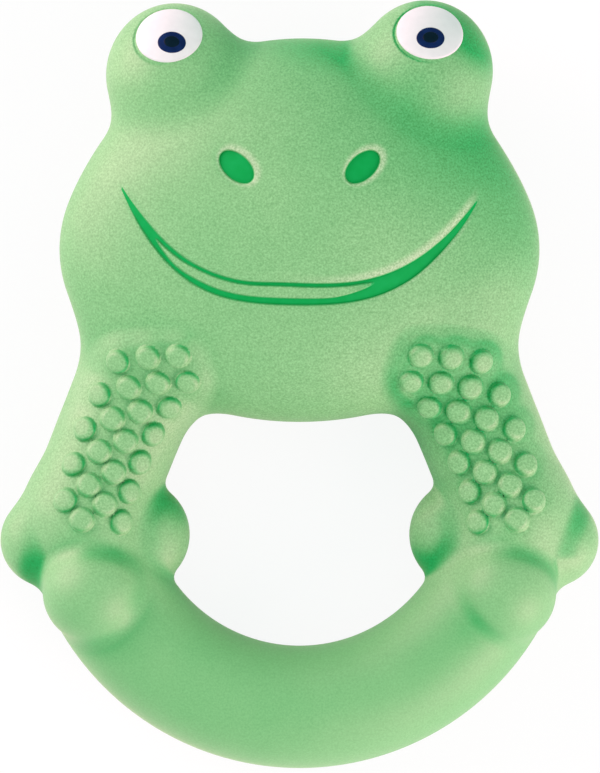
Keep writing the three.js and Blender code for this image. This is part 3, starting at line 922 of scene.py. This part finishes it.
def brow_lean(points):
    """Place across the brow, from -1 at the left eye to 1 at the right one, and 0 further down."""
    middle = HEAD_LIFT + BROW_RISE
    return np.clip(points[:, 0] / (EYE_SPREAD / 2), -1, 1) * ramp(middle - LEAN_SPAN, middle, points[:, 1])


def crease_shade_amount(points, normals):
    """How much painted shade points get by how deep they lie in a valley, from 0 to 1: more on slopes facing
    up to the right, round the fingers, and beside the right eye.
    """
    amount = np.zeros(len(points))
    for reach, weight in CREASE_REACH:
        room = in_chunks(skin_field, points + reach * normals)
        amount += weight * np.clip(1 - room / reach, 0, 1)
    strength = 1 + VALLEY_LEAN * brow_lean(points)
    for name, (left, right) in FINGER_CREASE.items():
        near = ramp(FINGER_NEAR, 0, finger_field(points, name))
        strength += (np.where(points[:, 0] < 0, left, right) - 1) * near
    amount *= np.clip(shade(normals, **CREASE_FACING), 0, CREASE_MOST) * strength
    return amount / np.hypot(1, amount)


def hoop_tone_and_brow_shade(points, normals):
    """How much the green deepens: a darker tone over the hoop, painted shade towards the brow's upper right,
    and painted shade on the eye mounds' slopes that face up to the right.
    """
    x, y = points[:, :2].T
    rising = slopes(normals)[0]
    off_mound = ramp(*MOUND_EDGE, pebble(folded(points), eye_centre, EYE_SIZE))
    brow = ramp(*BROW_SPAN, y - HEAD_LIFT + BROW_SLANT * x) * (MOUND_SHARE + (1 - MOUND_SHARE) * off_mound)
    over_eye = ramp(*EYE_SPAN, y - HEAD_LIFT - EYE_RISE + EYE_SLANT * np.minimum(x, 0))
    eye = (1 + VALLEY_LEAN * brow_lean(points)) * ramp(*EYE_FACING, rising) * over_eye
    return HOOP_TONE * ramp(*HOOP_SPAN, y) + BROW_SHADE * brow + EYE_SHADE * eye


def pad_side(points):
    """How far points lie on the sloping sides of the chew pads, from 0 to 1."""
    along = pad_place(points)[1]
    side = spanned(-NUB_NEAR, NUB_NEAR, NUB_NEAR, PAD_SLOPE, nub_gap(points)) * ramp(*PAD_FADE, along)
    return side * (points[:, 2] > hoop_middle)


def pad_shade_amount(points, normals):
    """How much painted shade the chew pads get: on their sides, between the right pad's nubs, and on the
    nubs' sides towards the pad's middle.
    """
    x, z = points[:, 0], points[:, 2]
    across, along = pad_place(points)
    height = body_field(points) - pad_rise(points)
    turn = np.where(x > 0, PAD_TURN, 0)
    side = pad_side(points) * np.clip(shade(normals, turn=turn, **PAD_FACING), 0, 1)
    between = ramp(*NUB_FOOT, height) * ramp(1, 0, nub_gap(points - TONE_SHIFT)) * ramp(*TONE_FADE, along)
    falling = slopes(normals)[1]
    flank = np.clip(across / NUB_COLUMN_PITCH - (len(NUB_COLUMNS) - 1) / 2, -1, 1)
    wall = spanned(*NUB_WALL, height) * (nub_gap(points) < NUB_NEAR)
    wall = wall * np.clip(-np.sign(x) * flank * falling, 0, 1)
    return PAD_SHADE * side + (PAD_GAP_SHADE * between * (x > 0) + NUB_SHADE * wall) * (z > hoop_middle)


def groove_shade_amount(points):
    """How much painted shade the mouth and the nostrils get, from 0 to 1, by how far points lie in them."""
    share, above, below = mouth_place(points[:, :2])
    sunk = ramp(*GROOVE_SINK, in_chunks(face_sink, points))
    sunk = np.maximum(sunk, ramp(*LINES_MEET, share) * (above > 0) * (below > 0))
    return sunk * (points[:, 2] > jowl_middle)


def painted_shade_amount(points, normals):
    """How much painted shade the rubber gets, with the hoop's darker tone, from 0 to 1."""
    amount = crease_shade_amount(points, normals) + hoop_tone_and_brow_shade(points, normals)
    amount += pad_shade_amount(points, normals) + groove_shade_amount(points)
    return np.minimum(amount, 1)


def painted_highlight_amount(points, normals):
    """How much painted highlight points get, from 0 to 1: pale rims of the nostrils and the lips, and the
    chew pads' lit sides.
    """
    plane = points[:, :2]
    amount = np.zeros(len(points))
    for side in (-1, 1):
        rim = ramp(RIM_WIDTH, RIM_CORE, -nostril_place(plane - RIM_SHIFT, side))
        amount = np.maximum(amount, rim * ramp(*RIM_CLEAR, -nostril_place(plane, side)))
    share, above, below = mouth_place(plane)
    for off, (soft, span, strength) in ((below, UPPER_RIM), (above, LOWER_RIM)):
        rim = strength * spanned(-soft, *LIP_RIM, off) * ramp(*span, share)
        amount = np.maximum(amount, rim * ramp(*RIM_END, share))
    rising, falling = slopes(normals)
    glow = PAD_HIGHLIGHT * pad_side(points) * ramp(*HIGHLIGHT_FACING, np.abs(falling) - np.abs(rising))
    return amount * (points[:, 2] > jowl_middle) + glow


def grain_amount(points):
    """How grainy the rubber looks, from 0 to 1."""
    head = LEFT_GRAIN + (1 - LEFT_GRAIN) * ramp(*GRAIN_LEAN, points[:, 0])
    return RING_GRAIN + (1 - RING_GRAIN) * ramp(*GRAIN_RISE, points[:, 1]) * head


def side_of_plane(points, degrees):
    """How far points lie ahead of a radial plane on the right, and of its mirror on the left."""
    angle = math.radians(degrees)
    return points[:, 1] * math.cos(angle) - np.abs(points[:, 0]) * math.sin(angle)


def skin_cuts():
    """The lines that part the skin, each as values that are negative on one side."""
    def front_first(points):
        others = np.minimum(finger_field(points, "outer"), finger_field(points, "inner"))
        return finger_field(points, "front") - others

    cuts = {}
    for name in FINGERS:
        cuts[name] = lambda points, name=name: finger_field(points, name) - body_field(points)
    cuts["front_first"] = front_first
    cuts["pad"] = lambda points: np.where(points[:, 2] > hoop_middle, pad_outline(points), NUB_WIDTH)
    cuts["shoulder"] = lambda points: side_of_plane(points, SHOULDER_ANGLE)
    cuts["wrist"] = lambda points: side_of_plane(points, WRIST_ANGLE)
    cuts["cuff"] = lambda points: side_of_plane(points, CUFF_ANGLE)
    cuts["middle"] = lambda points: points[:, 0]
    return cuts


def skin_places(on):
    """Which triangles make up each rubber piece, from the side of each cut that they lie on."""
    front = on["front"] & (on["front_first"] | ~(on["outer"] | on["inner"]))
    outer = on["outer"] & ~front
    inner = on["inner"] & ~front & ~outer
    fingers = front | outer | inner
    limbs = {
        "head": ~on["shoulder"],
        "arm": on["shoulder"] & ~on["wrist"],
        "hand": on["wrist"] & ~on["cuff"],
        "grip_ring": on["cuff"],
    }
    pads = on["pad"] & ~fingers
    details = {"front_finger": front, "outer_finger": outer, "inner_finger": inner, "chew_pad": pads}
    places = {name: (where & ~fingers & ~pads, where & pads) for name, where in limbs.items()}
    for name, where in details.items():
        places[name] = (where, np.zeros_like(where))
    made = {}
    for name, (skin, socket) in places.items():
        if name in ("head", "grip_ring"):
            made[name] = (skin, socket)
            continue
        made[f"left_{name}"] = (skin & on["middle"], socket & on["middle"])
        made[f"right_{name}"] = (skin & ~on["middle"], socket & ~on["middle"])
    return made, pads


def skin_net():
    """The net of the whole skin, each piece's triangles and those of its pad sockets, and the pads' own."""
    corners, triangles = wrapped(skin_field, np.array(NET_LOW), np.array(NET_HIGH), NET_STEP)
    for wanted in (detail_spots, fine_spots, edge_spots):
        corners, triangles = refined(skin_field, corners, triangles, wanted)
    sides = np.zeros((len(triangles), 0), bool)
    cuts = skin_cuts()
    for cut in cuts.values():
        corners, triangles, sides = parted(corners, triangles, sides, cut(corners))
    places, pads = skin_places(dict(zip(cuts, sides.T)))
    return corners, triangles, places, pads


def build_skin():
    """The rubber pieces, each with its own stretch of the skin, and with the chew pads let into sockets."""
    corners, triangles, places, pads = skin_net()
    normals = np.concatenate([unit(slope_of(skin_field, part)) for part in np.array_split(corners, 8)])
    # Painted shade and painted highlights, worked out from the geometry and stored on each corner.
    light_tints = {"painted_shade_and_tone": painted_shade_amount(corners, normals), "rim": painted_highlight_amount(corners, normals)}
    skin_corners = len(corners)
    pad_corners = np.unique(triangles[pads])
    floor_of = np.full(len(corners), -1)
    floor_of[pad_corners] = len(corners) + np.arange(len(pad_corners))
    sunk = corners[pad_corners] - PAD_DEPTH * UP
    floors = settled(lambda points: body_field(points) + PAD_DEPTH, sunk, 4)
    corners = np.concatenate([corners, floors])
    normals = np.concatenate([normals, unit(slope_of(body_field, floors))])
    pad_triangles = np.flatnonzero(pads)
    edges, owner = rim_edges(triangles[pads])
    a, b = edges.T
    walls = quads(a, b, floor_of[b], floor_of[a])
    for node, (skin, socket) in places.items():
        chosen = [triangles[skin], floor_of[triangles[socket]]]
        chosen += [wall[socket[pad_triangles[owner]]] for wall in walls]
        if node.endswith("chew_pad"):
            chosen += [floor_of[triangles[skin]][:, ::-1]]
            chosen += [wall[skin[pad_triangles[owner]]][:, ::-1] for wall in walls]
        spots, faces, used = closed_piece(corners, np.concatenate(chosen))
        caps = len(spots) - len(used)
        directions = np.concatenate([normals[used], np.tile(-UP, (caps, 1))])
        amounts = {"grain": grain_amount(spots)}
        at = np.flatnonzero(used < skin_corners)
        for label, light_tint in light_tints.items():
            amounts[label] = np.zeros(len(spots))
            amounts[label][at] = light_tint[used[at]]
        add_piece(f"{node}_skin", node, "rubber", spots, faces, rubber, directions, amounts)


def disc_faces(rings, sides):
    """Triangles of a closed disc: a middle corner, rings outwards and back in, and a last middle corner."""
    faces = []
    around = np.arange(sides)
    ahead = (around + 1) % sides
    faces.append(np.column_stack([np.zeros(sides, int), 1 + around, 1 + ahead]))
    for ring in range(rings - 1):
        here, there = 1 + ring * sides, 1 + (ring + 1) * sides
        faces += quads(here + around, there + around, there + ahead, here + ahead)
    last = 1 + (rings - 1) * sides
    faces.append(np.column_stack([last + ahead, last + around, np.full(sides, last + sides)]))
    return np.concatenate(faces)


def paint_disc(shares, heights, place):
    """A closed disc from shares of its outline and heights, with points from place."""
    angles = np.linspace(0, 2 * math.pi, RING_SIDES, endpoint=False)
    rings = [place(np.zeros(1), np.zeros(1), heights[0])]
    for share, height in zip(shares[1:-1], heights[1:-1]):
        rings.append(place(np.full(RING_SIDES, share), angles, height))
    rings.append(place(np.zeros(1), np.zeros(1), heights[-1]))
    return np.concatenate(rings), disc_faces(len(shares) - 2, RING_SIDES)


def domed(proud, thickness, rings=10):
    """Shares and heights of a layer of paint that is rounded over at its edge."""
    shares = list(np.linspace(0, 0.94, rings)) + [0.975, 0.994, 1.0, 1.0, 0.7, 0.0]
    top = [proud] * rings + [proud * 0.86, proud * 0.6, proud * 0.2]
    return shares, top + [proud - thickness] * 3


def on_oval(share, angle, size, slant):
    """Places at shares of a slanted oval's outline."""
    return turned(share * size[0] / 2 * np.cos(angle), share * size[1] / 2 * np.sin(angle), slant)


def build_eye(side, label):
    way, right, upward = eye_frame(side)
    centre = eye_centre * (side, 1, 1)
    centre[1] += EYE_LEAN * centre[0]
    layers = {
        "eye_white": (WHITE_SIZE, WHITE_SLANT, (0, 0), "eye_white", white_paint),
        "iris": (IRIS_SIZE, 0, GAZE[side], "eye_iris", iris_paint),
        "pupil": (PUPIL_SIZE, 0, GAZE[side], "eye_pupil", pupil_paint),
    }
    for name, (size, slant, shift, slot, material) in layers.items():
        def place(share, angle, height, size=size, slant=slant, shift=shift):
            x, y = on_oval(share, angle, size, side * slant)
            start = centre + (shift[0] + x)[:, None] * right + (shift[1] + y)[:, None] * upward
            return body_along(start, way, height)
        shares, heights = domed(PAINT_PROUD[name], PAINT_THICKNESS[name])
        corners, faces = paint_disc(shares, heights, place)
        add_piece(f"{label}_{name}_paint", f"{label}_{name}", slot, corners, faces, material)


# A nostril's dark green floor, partly paint and partly painted shade.
def build_nostril(side, label):
    centre = np.array([side * NOSTRIL_SPREAD / 2, HEAD_LIFT + NOSTRIL_RISE])
    grown = np.array(NOSTRIL_SIZE) + 2 * NOSTRIL_ROUND

    def place(share, angle, height):
        offset = np.column_stack(on_oval(share, angle, grown, side * NOSTRIL_SLANT))
        return on_front(centre + offset, height)
    shares = list(np.linspace(0, 1, NOSTRIL_RINGS)) + [1, 0.6, 0]
    heights = [-FLOOR_SHARE * NOSTRIL_DEPTH] * NOSTRIL_RINGS + [-NOSTRIL_DEPTH] * 3
    corners, faces = paint_disc(shares, heights, place)
    add_piece(f"{label}_nostril_floor", f"{label}_nostril", "groove_paint", corners, faces, groove_paint)


def build_mouth():
    """The dark green floor of the mouth, partly paint and partly painted shade, a crescent that runs under
    both lips.
    """
    across = np.linspace(-LIP_ENDS, LIP_ENDS, LIP_STEPS) * MOUTH_WIDTH / 2
    (lower, lower_steep), (upper, upper_steep) = lip_heights(across)
    margin = np.minimum(LIP_ROUND, upper - lower)
    lower = lower - margin * lower_steep
    upper = upper + margin * upper_steep
    share = np.linspace(0, 1, LIP_ROWS)[:, None]
    height = (lower + share * (upper - lower)).ravel()
    x, y = turned(np.tile(across, LIP_ROWS), height, MOUTH_TILT)
    plane = np.column_stack([x, y + HEAD_LIFT + MOUTH_RISE])
    depth = mouth_depth(plane)
    corners = np.concatenate([on_front(plane, -FLOOR_SHARE * depth), on_front(plane, -depth)])
    at = np.arange(LIP_ROWS * LIP_STEPS).reshape(LIP_ROWS, LIP_STEPS)
    a, b, c, d = [part.ravel() for part in (at[:-1, :-1], at[:-1, 1:], at[1:, 1:], at[1:, :-1])]
    top = np.concatenate(quads(a, b, c, d))
    under = top[:, ::-1] + at.size
    rim = np.concatenate([at[0, :], at[1:, -1], at[-1, -2::-1], at[-2:0:-1, 0]])
    ahead = np.roll(rim, -1)
    wall = quads(rim, rim + at.size, ahead + at.size, ahead)
    faces = np.concatenate([top, under, *wall])
    add_piece("mouth_floor", "mouth_line", "groove_paint", corners, faces, groove_paint)


# Stage: a white floor, soft lamps and a camera straight over the toy
PHOTO_HEIGHT = 773
PHOTO_SCALE = 0.15 * MM
CAMERA_HEIGHT = 3
CAMERA_REACH = 10
SENSOR = 36
FLOOR_HALF = 1.5
FLOOR_COLOUR = (0.92, 0.92, 0.92, 1)
FLOOR_GLOW = 0.9
SKY_COLOUR = (0.62, 1, 0.88, 1)
SKY_STRENGTH = 0.71
LAMPS = {
    "lamp_low_right": ((0.49, -0.42, 0.29), 0.5, 6.8, (1, 0.5, 0.66)),
    "lamp_high_left": ((-0.57, 0.33, 0.235), 0.6, 7.4, (1, 0.52, 0.68)),
}


def build_camera():
    data = bpy.data.cameras.new("camera")
    data.sensor_fit = "VERTICAL"
    data.sensor_height = SENSOR
    data.lens = SENSOR * CAMERA_HEIGHT / (PHOTO_HEIGHT * PHOTO_SCALE)
    data.clip_end = CAMERA_REACH
    camera = placed("camera", data)
    camera.location = (PHOTO_SCALE / 2, -PHOTO_SCALE / 2, CAMERA_HEIGHT + jowl_middle * MM)
    bpy.context.scene.camera = camera


def add_lamp(name, place, size, power, colour):
    data = bpy.data.lights.new(name, "AREA")
    data.shape = "DISK"
    data.size = size
    data.energy = power
    data.color = colour
    lamp = placed(name, data)
    lamp.location = place
    lamp.rotation_euler = (-Vector(place)).to_track_quat("-Z", "Y").to_euler()


def floor_material():
    """White to the camera, with enough of a plain pale floor in it to keep the toy's shadow."""
    material = bpy.data.materials.new("white_floor")
    material.use_nodes = True
    tree = material.node_tree
    tree.nodes.clear()
    kinds = ("OutputMaterial", "BsdfDiffuse", "Emission", "LightPath", "Math", "MixShader")
    out, plain, glow, path, amount, mix = [tree.nodes.new(f"ShaderNode{kind}") for kind in kinds]
    plain.inputs["Color"].default_value = FLOOR_COLOUR
    glow.inputs["Strength"].default_value = 1
    amount.operation = "MULTIPLY"
    amount.inputs[1].default_value = FLOOR_GLOW
    tree.links.new(path.outputs["Is Camera Ray"], amount.inputs[0])
    tree.links.new(amount.outputs[0], mix.inputs["Fac"])
    tree.links.new(plain.outputs[0], mix.inputs[1])
    tree.links.new(glow.outputs[0], mix.inputs[2])
    tree.links.new(mix.outputs[0], out.inputs["Surface"])
    return material


def build_stage():
    mesh = bpy.data.meshes.new("floor")
    corners = [(x * FLOOR_HALF, y * FLOOR_HALF, 0) for x, y in ((-1, -1), (1, -1), (1, 1), (-1, 1))]
    mesh.from_pydata(corners, [], [(0, 1, 2, 3)])
    mesh.materials.append(floor_material())
    floor = placed("floor", mesh)

    world = bpy.data.worlds.new("studio")
    world.use_nodes = True
    sky = world.node_tree.nodes["Background"]
    sky.inputs["Color"].default_value = SKY_COLOUR
    sky.inputs["Strength"].default_value = SKY_STRENGTH
    bpy.context.scene.world = world
    for name, settings in LAMPS.items():
        add_lamp(name, *settings)


build_camera()
build_stage()
build_skin()
build_mouth()
for side, label in ((-1, "left"), (1, "right")):
    build_eye(side, label)
    build_nostril(side, label)

bpy.context.scene.view_settings.view_transform = "Standard"
